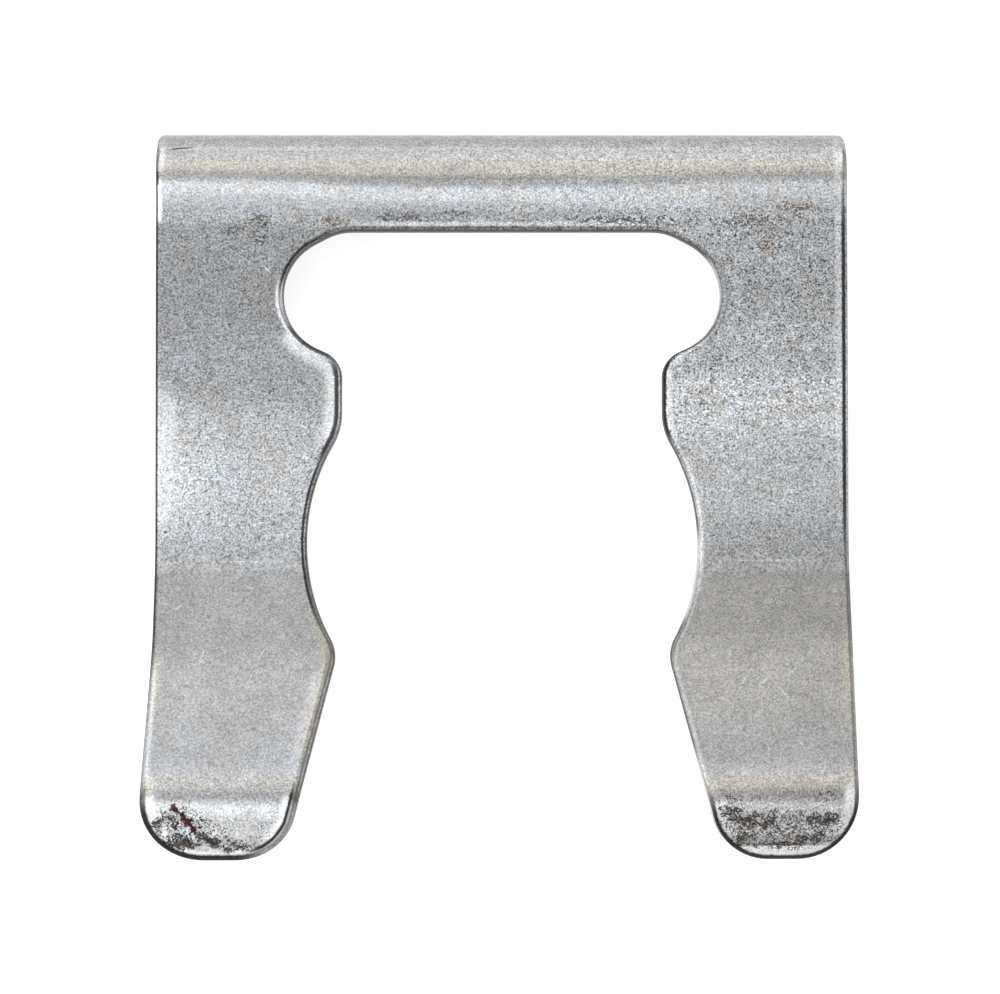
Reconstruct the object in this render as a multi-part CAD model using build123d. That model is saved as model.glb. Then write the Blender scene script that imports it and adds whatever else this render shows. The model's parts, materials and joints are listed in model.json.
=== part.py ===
from build123d import *
import os
from math import asin, atan2, cos, degrees, hypot, radians, sin, sqrt, tan

# Flat spring clip, punched from spring strip and folded in one stroke.
# The sheet is drawn first with its flat middle in the XY plane: X runs across the clip,
# Y runs from the tips to the flange, the face stands at Z = 0 and the centre of the round
# seat is the origin. The finished clip is then laid down as it rests on a table.
# All lengths are in millimetres and all angles in degrees.

# Sheet
sheet = 1.0
edge_round = 0.28

# Outline of the blank, seen square to the flat middle
clip_width = 35.4
crossbar_width = 5.2
tip_width = 6.75
tip_outer_round = 3.1
tip_inner_round = 2.85
flare = 0.6
flare_length = 11.4
flare_round = 30.0

# Notch: pocket, neck, round seat and mouth, from the flange down to the tips
pocket_width = 22.4
pocket_side_round = 3.0
pocket_corner_round = 2.8
pocket_corner_inset = 0.52
pocket_crown = 0.3
shoulder_drop = 0.3
neck_width = 16.4
neck_length = 3.63
neck_shoulder_round = 1.4
neck_lobe_round = 3.2
seat_radius = 10.0
seat_end_angle = 33.4
mouth_length = 10.3
mouth_lobe_round = 1.9

# Folds, seen from the side
flange_depth = 4.5
flange_inner_radius = 1.15
flange_corner_round = 1.6
bow_drop = 0.8
bow_angle = 16.5
bow_inner_radius = 10.0
lead_length = 3.3
lead_angle = 21.0
lead_inner_radius = 3.3

# Places that follow from the sizes, counted from the seat's centre
half_width = clip_width / 2
neck_half = neck_width / 2
seat_meets_neck = sqrt(seat_radius**2 - neck_half**2)
neck_top = seat_meets_neck + neck_length
pocket_side_y = neck_top + shoulder_drop + pocket_side_round
pocket_top = pocket_side_y + pocket_side_round + pocket_crown
flange_y = pocket_top + crossbar_width
mouth_top = -seat_radius * sin(radians(seat_end_angle))
mouth_top_half = seat_radius * cos(radians(seat_end_angle))
mouth_end_half = half_width - tip_width
tip_y = mouth_top - mouth_length
bow_y = -bow_drop
lead_y = tip_y + lead_length

# Modelling values: how far a cut runs past the sheet, and what counts as touching or smooth
margin = 5.0
touching = 0.01
smooth_turn = 30.0


def face_line() -> Wire:
    """The clip's face seen from the side, from the flange's end to past the tips."""
    leg_rise = (bow_y - lead_y) * tan(radians(bow_angle))
    tip_reach = lead_y - tip_y + margin
    tip_rise = tip_reach * tan(radians(bow_angle - lead_angle))
    flange_end = (flange_y, -flange_depth)
    flange_fold = (flange_y, 0)
    bow_fold = (bow_y, 0)
    lead_fold = (lead_y, leg_rise)
    tip_end = (lead_y - tip_reach, leg_rise + tip_rise)
    radii = [flange_inner_radius + sheet, bow_inner_radius, lead_inner_radius + sheet]
    return FilletPolyline(flange_end, flange_fold, bow_fold, lead_fold, tip_end, radius=radii)


def side_profile() -> Sketch:
    """Closed section of the folded sheet in the YZ plane: its face and a back one sheet behind."""
    section = offset(face_line(), amount=sheet, side=Side.LEFT)
    return Plane.YZ * make_face(section.edges())


def corners(outline: Sketch, x: float, y: float) -> list[Vertex]:
    """The outline's corner nearest to (x, y) and its mirror twin across the clip."""
    return [outline.vertices().sort_by_distance((side * x, y))[0] for side in (-1, 1)]


def pocket() -> Sketch:
    """Wide upper hollow, a taut line round its side and corner rounds and the neck's top."""
    side_x = pocket_width / 2 - pocket_side_round
    corner_y = pocket_top - pocket_corner_round
    rounds = Curve() + Line((-neck_half, neck_top), (neck_half, neck_top))
    for side in (-1, 1):
        rounds += Pos(side * side_x, pocket_side_y) * Edge.make_circle(pocket_side_round)
        corner_x = side * (side_x - pocket_corner_inset)
        rounds += Pos(corner_x, corner_y) * Edge.make_circle(pocket_corner_round)
    return Sketch() + make_hull(rounds.edges())


def neck() -> Sketch:
    """Straight gap between the upper lobes, down to the middle of the seat."""
    return Pos(0, neck_top / 2) * Rectangle(neck_width, neck_top)


def mouth() -> Sketch:
    """Opening that widens from the lower lobes to the tips and runs out past them."""
    spread = (mouth_end_half - mouth_top_half) / mouth_length
    low_y = tip_y - margin
    low_half = mouth_end_half + spread * margin
    top = [(-mouth_top_half, mouth_top), (mouth_top_half, mouth_top)]
    low = [(low_half, low_y), (-low_half, low_y)]
    return make_face(Polyline(*top, *low, close=True).edges())


def notch() -> Sketch:
    """The whole inner cut-out, with its lobes rounded."""
    cut = pocket() + neck() + Circle(seat_radius) + mouth()
    cut = fillet(corners(cut, neck_half, neck_top), neck_shoulder_round)
    cut = fillet(corners(cut, neck_half, seat_meets_neck), neck_lobe_round)
    return fillet(corners(cut, mouth_top_half, mouth_top), mouth_lobe_round)


def blank() -> Sketch:
    """Outline of the clip in plan; the left leg stands out a little towards its tip."""
    top_y = flange_y + margin
    flare_start = (-half_width, tip_y + flare_length)
    left = [(-half_width - flare, tip_y), flare_start, (-half_width, top_y)]
    right = [(half_width, top_y), (half_width, tip_y)]
    plate = Sketch() + make_face(Polyline(*left, *right, close=True).edges())
    plate = fillet(plate.vertices().sort_by_distance(flare_start)[0], flare_round)
    plate -= notch()
    plate = fillet(corners(plate, half_width, tip_y), tip_outer_round)
    return fillet(corners(plate, mouth_end_half, tip_y), tip_inner_round)


def rolled_edges(clip: Part) -> list[Edge]:
    """The edges round the face, where the sheet drew in as it was punched."""
    side_view = Plane.YZ * face_line()
    rolled = []
    for edge in clip.edges():
        middle = edge @ 0.5
        if side_view.distance_to(Vertex(0, middle.Y, middle.Z)) > touching:
            continue
        sides = [face for face in clip.faces() if any(edge.is_same(other) for other in face.edges())]
        turn = sides[0].normal_at(middle).get_angle(sides[1].normal_at(middle))
        if turn > smooth_turn:
            rolled.append(edge)
    return rolled


def folded_clip() -> Part:
    """The folded sheet, cut to its outline, with its rolled edges."""
    reach = half_width + flare + margin
    height = flange_depth + (bow_y - tip_y) + margin
    clip = extrude(side_profile(), amount=reach, both=True)
    clip &= extrude(blank(), amount=height, both=True)
    flange_corners = clip.edges().filter_by(Axis.Y).group_by(Axis.Z)[0]
    clip = fillet(flange_corners, flange_corner_round)
    return fillet(rolled_edges(clip), edge_round)


def rest_tilt() -> float:
    """Angle that brings the flange's end and the back of the bow down to the same table."""
    bow_centre_y = bow_y + bow_inner_radius * tan(radians(bow_angle / 2))
    across = flange_y - sheet - bow_centre_y
    up = -flange_depth - bow_inner_radius
    drop = -bow_inner_radius - sheet
    return degrees(asin(drop / hypot(across, up)) - atan2(up, across))


def resting_clip() -> Part:
    """The clip as it lies face up, with its origin under the middle of its outer box."""
    clip = Rot(X=rest_tilt()) * folded_clip()
    box = clip.bounding_box()
    middle = box.center()
    return Pos(-middle.X, -middle.Y, -box.min.Z) * clip


spring_clip = resting_clip()
spring_clip.label = "spring_clip"

os.makedirs("parts", exist_ok=True)
export_step(spring_clip, "parts/spring_clip.step")
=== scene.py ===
"""Looks of the flat spring clip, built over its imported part.

The clip is modelled in the order it is made: the blank is drawn flat, gets its thickness and
its rolled edges, and is then folded. Sizes are in millimetres and angles in degrees up to
there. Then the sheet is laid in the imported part's frame, which is in metres.
"""

import json
import logging
from dataclasses import dataclass, field
from math import acos, atan2, ceil, cos, degrees, hypot, pi, radians, sin, sqrt, tan

import bmesh
import bpy
import numpy as np
from mathutils import Matrix, Vector


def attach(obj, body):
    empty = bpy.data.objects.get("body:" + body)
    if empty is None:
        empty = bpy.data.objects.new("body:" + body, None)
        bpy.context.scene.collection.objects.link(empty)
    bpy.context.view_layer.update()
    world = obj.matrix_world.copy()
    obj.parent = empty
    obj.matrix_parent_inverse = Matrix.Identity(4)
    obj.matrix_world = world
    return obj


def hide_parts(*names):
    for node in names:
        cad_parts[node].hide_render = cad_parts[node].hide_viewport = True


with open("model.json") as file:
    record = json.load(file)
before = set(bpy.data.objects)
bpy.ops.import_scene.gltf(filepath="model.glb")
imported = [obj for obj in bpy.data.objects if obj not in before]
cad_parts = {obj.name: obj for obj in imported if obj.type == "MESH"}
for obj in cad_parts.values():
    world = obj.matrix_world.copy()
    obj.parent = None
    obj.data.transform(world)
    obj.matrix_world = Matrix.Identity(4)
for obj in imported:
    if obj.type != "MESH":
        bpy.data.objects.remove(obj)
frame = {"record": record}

LOG = logging.getLogger("spring_clip")
MILLIMETRE = 0.001
TOUCHING = 1e-4
NOISE_MIDDLE = 0.5

Colour = tuple[float, float, float, float]
Operand = "Wire | float"
WHITE: Colour = (1.0, 1.0, 1.0, 1.0)


def clamped(value: float) -> float:
    """The value held between 0 and 1."""
    return min(max(value, 0.0), 1.0)


def smooth_step(low: float, high: float, value: float) -> float:
    """A soft step that is 0 at low and 1 at high."""
    share = clamped((value - low) / (high - low))
    return share * share * (3 - 2 * share)


class Pen:
    """Draws an outline in a bmesh, one straight line or arc at a time.

    An arc's steps turn by no more than an angle and reach no further than a length.
    """

    step_angle = 6.0
    step_length = 0.4

    def __init__(self, mesh: bmesh.types.BMesh, start: Vector) -> None:
        """Puts the pen down at the outline's first point, in the plane z = 0."""
        self.mesh = mesh
        self.tip = mesh.verts.new(start.to_3d())

    def line_to(self, end: Vector) -> None:
        """Draws a straight line, or nothing where the pen already stands there.

        Args:
            end: The line's end.
        """
        if (self.tip.co.to_2d() - end).length < TOUCHING:
            return
        corner = self.mesh.verts.new(end.to_3d())
        self.mesh.edges.new((self.tip, corner))
        self.tip = corner

    def arc(self, centre: Vector, end: Vector, clockwise: bool = False) -> None:
        """Draws a true arc round a centre.

        Args:
            centre: The arc's centre.
            end: A point in the direction in which the arc ends, seen from the centre.
            clockwise: Whether the arc runs clockwise.
        """
        start = self.tip.co.to_2d() - centre
        aim = end - centre
        turn = -start.angle_signed(aim) % (2 * pi)
        if clockwise:
            turn -= 2 * pi
        by_angle = ceil(abs(turn) / radians(self.step_angle))
        by_length = ceil(abs(turn) * start.length / self.step_length)
        swept = bmesh.ops.spin(
            self.mesh, geom=[self.tip], cent=centre.to_3d(), axis=(0, 0, 1), dvec=(0, 0, 0),
            angle=turn, steps=max(by_angle, by_length),
            use_merge=False, use_normal_flip=False, use_duplicate=False,
        )
        self.tip = swept["geom_last"][0]

    def corner(self, corner: Vector, towards: Vector, radius: float) -> None:
        """Draws a line to a corner, rounded, and stops where its arc ends.

        Args:
            corner: The corner before it is rounded.
            towards: A point on the line that leaves the corner.
            radius: The corner's radius.
        """
        back = (self.tip.co.to_2d() - corner).normalized()
        ahead = (towards - corner).normalized()
        half = acos(back.dot(ahead)) / 2
        reach = radius / tan(half)
        centre = corner + (back + ahead).normalized() * radius / sin(half)
        turns_right = back.x * ahead.y - back.y * ahead.x > 0
        self.line_to(corner + back * reach)
        self.arc(centre, corner + ahead * reach, clockwise=turns_right)


@dataclass(frozen=True)
class Blank:
    """Outline of the punched sheet: X across the clip, Y from the tips to the flange.

    The origin is the centre of the round seat.
    """

    sheet: float = 1.0
    clip_width: float = 35.4
    crossbar_width: float = 5.2
    tip_width: float = 6.75
    tip_outer_round: float = 3.1
    tip_inner_round: float = 2.85
    flare: float = 0.6
    flare_length: float = 11.4
    pocket_width: float = 22.4
    pocket_side_round: float = 3.0
    pocket_corner_round: float = 2.8
    pocket_corner_inset: float = 0.52
    pocket_crown: float = 0.3
    shoulder_drop: float = 0.3
    neck_width: float = 16.4
    neck_length: float = 3.63
    neck_shoulder_round: float = 1.4
    neck_lobe_round: float = 3.2
    seat_radius: float = 10.0
    seat_end_angle: float = 33.4
    mouth_length: float = 10.3
    mouth_lobe_round: float = 1.9
    flange_corner_round: float = 1.6

    @property
    def half_width(self) -> float:
        """Half of the clip's width."""
        return self.clip_width / 2

    @property
    def neck_half(self) -> float:
        """Half of the neck's width."""
        return self.neck_width / 2

    @property
    def neck_top(self) -> float:
        """Where the neck opens into the pocket."""
        return sqrt(self.seat_radius**2 - self.neck_half**2) + self.neck_length

    @property
    def pocket_side(self) -> Vector:
        """Centre of the pocket's right side round."""
        side_x = self.pocket_width / 2 - self.pocket_side_round
        return Vector((side_x, self.neck_top + self.shoulder_drop + self.pocket_side_round))

    @property
    def pocket_top(self) -> float:
        """The pocket's edge below the crossbar."""
        return self.pocket_side.y + self.pocket_side_round + self.pocket_crown

    @property
    def flange_y(self) -> float:
        """The outer face of the folded flange."""
        return self.pocket_top + self.crossbar_width

    @property
    def mouth_top(self) -> Vector:
        """Where the mouth's right side meets the seat, before the lobe is rounded."""
        angle = radians(self.seat_end_angle)
        return Vector((cos(angle), -sin(angle))) * self.seat_radius

    @property
    def tip_y(self) -> float:
        """The ends of the tips."""
        return self.mouth_top.y - self.mouth_length

    def draw(self, mesh: bmesh.types.BMesh, end_y: float) -> None:
        """Draws the right half of the blank.

        Args:
            mesh: The mesh that takes the outline.
            end_y: The flange's end, measured along the flat blank.
        """
        pen = Pen(mesh, Vector((0, end_y)))
        outer_tip = Vector((self.half_width, self.tip_y))
        inner_tip = Vector((self.half_width - self.tip_width, self.tip_y))
        pen.corner(Vector((self.half_width, end_y)), outer_tip, self.flange_corner_round)
        pen.corner(outer_tip, inner_tip, self.tip_outer_round)
        pen.corner(inner_tip, self.mouth_top, self.tip_inner_round)
        self.draw_seat(pen, inner_tip)
        self.draw_pocket(pen)
        pen.line_to(Vector((0, self.pocket_top)))

    def draw_seat(self, pen: Pen, inner_tip: Vector) -> None:
        """Draws the lower lobe, the round seat and the upper lobe.

        Args:
            pen: The pen, on the mouth's right side.
            inner_tip: A point on the mouth's side before the lobe.
        """
        origin = Vector((0, 0))
        along = (self.mouth_top - inner_tip).normalized()
        inwards = Vector((along.y, -along.x))
        lobe_reach = self.seat_radius + self.mouth_lobe_round
        beside = inner_tip + inwards * self.mouth_lobe_round
        run = beside.dot(along)
        lobe = beside + along * (-run - sqrt(run**2 - beside.length_squared + lobe_reach**2))
        if lobe.y < inner_tip.y:
            lobe = beside + along * (-run + sqrt(run**2 - beside.length_squared + lobe_reach**2))
        pen.line_to(lobe - inwards * self.mouth_lobe_round)
        pen.arc(lobe, origin, clockwise=True)
        upper_x = self.neck_half + self.neck_lobe_round
        upper_reach = self.seat_radius + self.neck_lobe_round
        upper = Vector((upper_x, sqrt(upper_reach**2 - upper_x**2)))
        pen.arc(origin, upper)
        pen.arc(upper, Vector((0, upper.y)), clockwise=True)

    def draw_pocket(self, pen: Pen) -> None:
        """Draws the shoulder and the taut line round the pocket's two rounds.

        Args:
            pen: The pen, on the neck's right side.
        """
        neck_corner = Vector((self.neck_half, self.neck_top))
        side = self.pocket_side
        to_side = side - neck_corner
        bearing = acos(self.pocket_side_round / to_side.length)
        from_side = Matrix.Rotation(bearing, 2) @ (-to_side.normalized())
        touch = side + from_side * self.pocket_side_round
        pen.corner(neck_corner, touch, self.neck_shoulder_round)
        pen.line_to(touch)
        corner_y = self.pocket_top - self.pocket_corner_round
        corner = Vector((side.x - self.pocket_corner_inset, corner_y))
        step = corner - side
        lean = acos((self.pocket_side_round - self.pocket_corner_round) / step.length)
        taut = Matrix.Rotation(-lean, 2) @ step.normalized()
        pen.arc(side, side + taut)
        pen.line_to(corner + taut * self.pocket_corner_round)
        pen.arc(corner, corner + Vector((0, 1)))


@dataclass(frozen=True)
class Bend:
    """One shallow fold of the sheet, seen from the side.

    A tilt is the angle by which the face leans back towards the flange.
    """

    corner_y: float
    corner_z: float
    tilt_above: float
    tilt_below: float
    face_radius: float

    @property
    def side(self) -> int:
        """1 where the face is outside the fold, and -1 where it is inside."""
        return 1 if self.tilt_above > self.tilt_below else -1

    @property
    def centre(self) -> tuple[float, float]:
        """The fold's centre.

        Returns:
            The centre, as (y, z).
        """
        tilt = radians(self.tilt_above)
        reach = self.face_radius * tan(radians(abs(self.tilt_below - self.tilt_above)) / 2)
        across = self.side * self.face_radius
        start_y = self.corner_y + reach * cos(tilt)
        start_z = self.corner_z - reach * sin(tilt)
        return start_y - across * sin(tilt), start_z - across * cos(tilt)

    def layer_radius(self, depth: float) -> float:
        """Signed radius of the layer that lies this deep in the sheet."""
        return self.side * self.face_radius - depth

    def limit(self, tilt: float, depth: float) -> float:
        """Where the layer's arc meets the straight sheet of that tilt."""
        return self.centre[0] + self.layer_radius(depth) * sin(radians(tilt))

    def straight(self, y: float, tilt: float, depth: float) -> float:
        """Height of a layer on the straight sheet beside the fold."""
        lean = radians(tilt)
        return self.corner_z - (y - self.corner_y) * tan(lean) - depth / cos(lean)

    def arc(self, y: float, depth: float) -> float:
        """Height of a layer inside the fold.

        Args:
            y: Place in plan.
            depth: How deep the layer lies behind the face.

        Returns:
            The layer's height over the plane of the flat middle.
        """
        radius = self.layer_radius(depth)
        off = y - self.centre[0]
        return self.centre[1] + self.side * sqrt(radius**2 - off**2)


@dataclass(frozen=True)
class Folds:
    """The folds that turn the flat blank into the clip."""

    blank: Blank
    flange_depth: float = 4.5
    flange_radius: float = 2.15
    bow_drop: float = 0.8
    bow_angle: float = 16.5
    bow_radius: float = 10.0
    lead_length: float = 3.3
    lead_angle: float = 21.0
    lead_radius: float = 4.3
    sink_depth: float = 0.07
    sink_reach: float = 4.4
    sink_floor: float = 1.7
    sink_end: float = 0.15
    lead_span: float = 1.0
    bow_span: float = 1.7

    @property
    def fold_start(self) -> float:
        """Where the flange's fold begins."""
        return self.blank.flange_y - self.flange_radius

    @property
    def fold_length(self) -> float:
        """Length of the face round the flange's fold."""
        return self.flange_radius * pi / 2

    @property
    def blank_end(self) -> float:
        """The flange's end, measured along the flat blank."""
        return self.fold_start + self.fold_length + self.flange_depth - self.flange_radius

    @property
    def bow(self) -> Bend:
        """The shallow bow at the middle of the seat."""
        return Bend(-self.bow_drop, 0.0, 0.0, self.bow_angle, self.bow_radius)

    @property
    def lead(self) -> Bend:
        """The fold that turns the tips back down.

        Returns:
            The fold.
        """
        lead_y = self.blank.tip_y + self.lead_length
        rise = (-self.bow_drop - lead_y) * tan(radians(self.bow_angle))
        tip_tilt = self.bow_angle - self.lead_angle
        return Bend(lead_y, rise, self.bow_angle, tip_tilt, self.lead_radius)

    def sink(self, y: float) -> float:
        """How far the face sinks ahead of the flange's fold.

        Args:
            y: Place along the blank.

        Returns:
            The depth of the sink there.
        """
        floor = self.fold_start - self.sink_floor
        drop = smooth_step(self.fold_start - self.sink_reach, floor, y)
        rise = smooth_step(floor, self.fold_start - self.sink_end, y)
        return self.sink_depth * (drop - rise)

    def height(self, y: float, depth: float) -> float:
        """Height of a layer of the sheet between the tips and the flange's fold.

        Args:
            y: Place in plan.
            depth: How deep the layer lies behind the face.

        Returns:
            The layer's height over the plane of the flat middle.
        """
        for bend in (self.bow, self.lead):
            if y >= bend.limit(bend.tilt_above, depth):
                return bend.straight(y, bend.tilt_above, depth)
            if y > bend.limit(bend.tilt_below, depth):
                return bend.arc(y, depth)
        return self.lead.straight(y, self.lead.tilt_below, depth)

    def folded(self, flat: Vector) -> Vector:
        """Folds a point of the flat blank.

        Args:
            flat: The point on the blank, with the face at z = 0.

        Returns:
            Its place in the folded clip.
        """
        depth = -flat.z
        past = flat.y - self.fold_start
        if past <= 0:
            return Vector((flat.x, flat.y, self.height(flat.y, depth) - self.sink(flat.y)))
        turn = min(past / self.flange_radius, pi / 2)
        radius = self.flange_radius - depth
        rest = max(past - self.fold_length, 0.0)
        y = self.fold_start + radius * sin(turn)
        return Vector((flat.x, y, radius * cos(turn) - self.flange_radius - rest))

    def cuts(self) -> list[float]:
        """Works out where the blank is cut across, closely at the folds and widely between.

        Returns:
            The cuts' places along the blank.
        """
        lead_y = self.lead.corner_y
        starts_and_spacings = [
            (self.blank.tip_y, 0.4),
            (lead_y - self.lead_span, 0.12),
            (lead_y + self.lead_span, 0.45),
            (-self.bow_drop - self.bow_span, 0.2),
            (-self.bow_drop + self.bow_span, 0.5),
            (self.fold_start - self.sink_reach, 0.3),
            (self.fold_start - self.sink_floor, 0.17),
            (self.fold_start + self.fold_length, 0.45),
            (self.blank_end, 0.0),
        ]
        places = []
        for (start, spacing), (end, _) in zip(starts_and_spacings, starts_and_spacings[1:]):
            count = round((end - start) / spacing)
            places += [start + (end - start) * index / count for index in range(count)]
        return places[1:]


@dataclass(frozen=True)
class Placement:
    """Where the clip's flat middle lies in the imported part's frame."""

    matrix: Matrix

    @classmethod
    def from_record(cls, record: dict, sheet: float) -> "Placement":
        """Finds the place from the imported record.

        Args:
            record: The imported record, whose mount `seat` stands in the middle of the sheet.
            sheet: Thickness of the sheet in millimetres.

        Returns:
            The placement, with its origin at the seat's centre on the face.
        """
        seat = next(mount for mount in record["mounts"] if mount["name"] == "seat")
        up = Vector(seat["axis"]).normalized()
        across = Vector((1, 0, 0))
        along = up.cross(across).normalized()
        origin = Vector(seat["pos_m"]) + up * sheet / 2 * MILLIMETRE
        turn = Matrix((across, along, up)).transposed().to_4x4()
        return cls(Matrix.Translation(origin) @ turn)

    def from_millimetres(self) -> Matrix:
        """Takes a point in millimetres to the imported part's frame."""
        return self.matrix @ Matrix.Scale(MILLIMETRE, 4)


class Wire:
    """One output of a material's node, with the arithmetic that masks are written in."""

    def __init__(self, bench: "Bench", socket: bpy.types.NodeSocket) -> None:
        """Holds the output, and the bench of the material that it belongs to."""
        self.bench = bench
        self.socket = socket

    def __add__(self, other: Operand) -> "Wire":
        """The sum."""
        return self.bench.maths("ADD", self, other)

    def __radd__(self, other: float) -> "Wire":
        """The sum, with the number first."""
        return self.bench.maths("ADD", other, self)

    def __sub__(self, other: Operand) -> "Wire":
        """The difference."""
        return self.bench.maths("SUBTRACT", self, other)

    def __rsub__(self, other: float) -> "Wire":
        """The difference, with the number first."""
        return self.bench.maths("SUBTRACT", other, self)

    def __mul__(self, other: Operand) -> "Wire":
        """The product."""
        return self.bench.maths("MULTIPLY", self, other)

    def __rmul__(self, other: float) -> "Wire":
        """The product, with the number first."""
        return self.bench.maths("MULTIPLY", other, self)

    def __abs__(self) -> "Wire":
        """The value without its sign."""
        return self.bench.maths("ABSOLUTE", self)

    def step(self, low: float, high: float) -> "Wire":
        """A soft step that is 0 at low and 1 at high; low may be the larger one."""
        return self.bench.softened(self, low, high)

    def swing(self) -> "Wire":
        """Noise, moved from its middle to lie round zero."""
        return self - NOISE_MIDDLE

    def at_least(self, other: Operand) -> "Wire":
        """The larger of the two."""
        return self.bench.maths("MAXIMUM", self, other)


class Bench:
    """The node tree of one material, and the one method that adds a node to it."""

    def __init__(self, name: str) -> None:
        """Starts an empty material.

        Args:
            name: The material's name.
        """
        self.material = bpy.data.materials.new(name)
        self.material.use_nodes = True
        self.tree = self.material.node_tree
        self.tree.nodes.clear()

    def node(
        self, kind: str, settings: dict | None = None, sockets: dict | None = None
    ) -> bpy.types.Node:
        """Adds a node.

        Args:
            kind: The node's type.
            settings: Its properties.
            sockets: Values or wires for its inputs, by name or by number.

        Returns:
            The node.
        """
        node = self.tree.nodes.new(kind)
        for name, value in (settings or {}).items():
            setattr(node, name, value)
        for key, value in (sockets or {}).items():
            if isinstance(value, Wire):
                self.tree.links.new(value.socket, node.inputs[key])
            else:
                node.inputs[key].default_value = value
        return node

    def computed(self, kind: str, operation: str, operands: tuple, output: int = 0) -> Wire:
        """Adds a node that works out one operation, and gives one of its outputs."""
        node = self.node(kind, {"operation": operation}, dict(enumerate(operands)))
        return Wire(self, node.outputs[output])

    def maths(self, operation: str, *operands: Operand) -> Wire:
        """Adds a Math node."""
        return self.computed("ShaderNodeMath", operation, operands)

    def vector(self, operation: str, *operands: "Wire | tuple") -> Wire:
        """Adds a Vector Math node that gives a vector."""
        return self.computed("ShaderNodeVectorMath", operation, operands)

    def measure(self, operation: str, *operands: "Wire | tuple") -> Wire:
        """Adds a Vector Math node that gives a value."""
        return self.computed("ShaderNodeVectorMath", operation, operands, 1)

    def softened(self, value: Wire, low: float, high: float) -> Wire:
        """Maps a value softly to 0 at low and 1 at high.

        Args:
            value: The value.
            low: Where the result is 0.
            high: Where the result is 1.

        Returns:
            The result.
        """
        settings = {"interpolation_type": "SMOOTHSTEP", "clamp": False}
        sockets = {"Value": value, "From Min": low, "From Max": high}
        return Wire(self, self.node("ShaderNodeMapRange", settings, sockets).outputs[0])

    def scaled(self, vector: Wire, share: Operand) -> Wire:
        """A vector or colour, scaled by a value."""
        node = self.node("ShaderNodeVectorMath", {"operation": "SCALE"}, {0: vector, "Scale": share})
        return Wire(self, node.outputs[0])

    def blend(self, share: Operand, first: "Wire | Colour", second: "Wire | Colour") -> Wire:
        """Mixes two colours."""
        node = self.node("ShaderNodeMix", {"data_type": "RGBA"}, {0: share, 6: first, 7: second})
        return Wire(self, node.outputs[2])

    def noise(self, place: Wire, scale: float, detail: float = 2.0, roughness: float = 0.5) -> Wire:
        """Soft noise with a number of patches per millimetre."""
        sockets = {"Vector": place, "Scale": scale, "Detail": detail, "Roughness": roughness}
        return Wire(self, self.node("ShaderNodeTexNoise", {}, sockets).outputs[0])

    def drift(self, place: Wire, scale: float, reach: float) -> Wire:
        """Moves a place by soft noise, so that what is painted by it turns ragged.

        Args:
            place: The place.
            scale: The noise's patches per millimetre.
            reach: How far it moves where the noise is strongest, in millimetres.

        Returns:
            The moved place.
        """
        cloud = self.node("ShaderNodeTexNoise", {}, {"Vector": place, "Scale": scale, "Detail": 2.0})
        offset = self.vector("SUBTRACT", Wire(self, cloud.outputs["Color"]), (NOISE_MIDDLE,) * 3)
        return self.vector("MULTIPLY_ADD", offset, (reach / NOISE_MIDDLE,) * 3, place)

    def attribute(self, name: str, output: str) -> Wire:
        """Reads an attribute of the mesh."""
        settings = {"attribute_type": "GEOMETRY", "attribute_name": name}
        return Wire(self, self.node("ShaderNodeAttribute", settings).outputs[output])

    def finish(self, surface: dict) -> bpy.types.Material:
        """Adds the surface shader and gives the material.

        Args:
            surface: Values or wires for the shader's inputs.

        Returns:
            The finished material.
        """
        shader = self.node("ShaderNodeBsdfPrincipled", {}, surface)
        self.node("ShaderNodeOutputMaterial", {}, {"Surface": Wire(self, shader.outputs[0])})
        return self.material


@dataclass(frozen=True)
class Patch:
    """A soft-edged oval on the sheet, such as a smudge, a streak or a scratch."""

    centre: tuple[float, float]
    radii: tuple[float, float]
    turn: float = 0.0

    @classmethod
    def line(cls, start: tuple[float, float], end: tuple[float, float], width: float) -> "Patch":
        """Makes a thin oval that runs from one place to another.

        Args:
            start: Its one end.
            end: Its other end.
            width: Its width.

        Returns:
            The oval.
        """
        span = Vector(end) - Vector(start)
        middle = (Vector(end) + Vector(start)) / 2
        return cls(tuple(middle), (span.length / 2, width / 2), degrees(atan2(span.y, span.x)))

    def mask(self, bench: Bench, place: Wire, core: float = 0.0) -> Wire:
        """Adds the oval's mask.

        Args:
            bench: The material.
            place: Place on the sheet, as (across, along, depth).
            core: Share of the oval that is full.

        Returns:
            1 inside and 0 outside.
        """
        turn = radians(self.turn)
        long, short = self.radii
        off = bench.vector("SUBTRACT", place, (*self.centre, 0.0))
        along = bench.measure("DOT_PRODUCT", off, (cos(turn) / long, sin(turn) / long, 0.0))
        aside = bench.measure("DOT_PRODUCT", off, (-sin(turn) / short, cos(turn) / short, 0.0))
        local = Wire(bench, bench.node("ShaderNodeCombineXYZ", {}, {0: along, 1: aside}).outputs[0])
        return bench.measure("LENGTH", local).step(1.0, core)


def ovals(*rows: tuple[float, ...]) -> tuple[Patch, ...]:
    """Ovals, each given as its place, its two radii and, where it has one, its turn."""
    return tuple(Patch(row[:2], row[2:4], *row[4:]) for row in rows)


def strokes(*rows: tuple[float, ...]) -> tuple[Patch, ...]:
    """Thin ovals, each given as the places of its two ends and its width."""
    return tuple(Patch.line(row[:2], row[2:4], row[4]) for row in rows)


@dataclass(frozen=True)
class LightShadeStep:
    """A soft change of the steel's grey, met on the way from the flange to the tips: painted light and
    shade, such as the bright and dark bands at the folds.
    """

    start: float
    end: float
    left: float
    right: float


@dataclass(frozen=True)
class ToneSpot:
    """Soft spots that are lighter or darker than the steel round them: painted highlights, painted
    shade and smudges.
    """

    change: float
    core: float
    places: tuple[Patch, ...]


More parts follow.
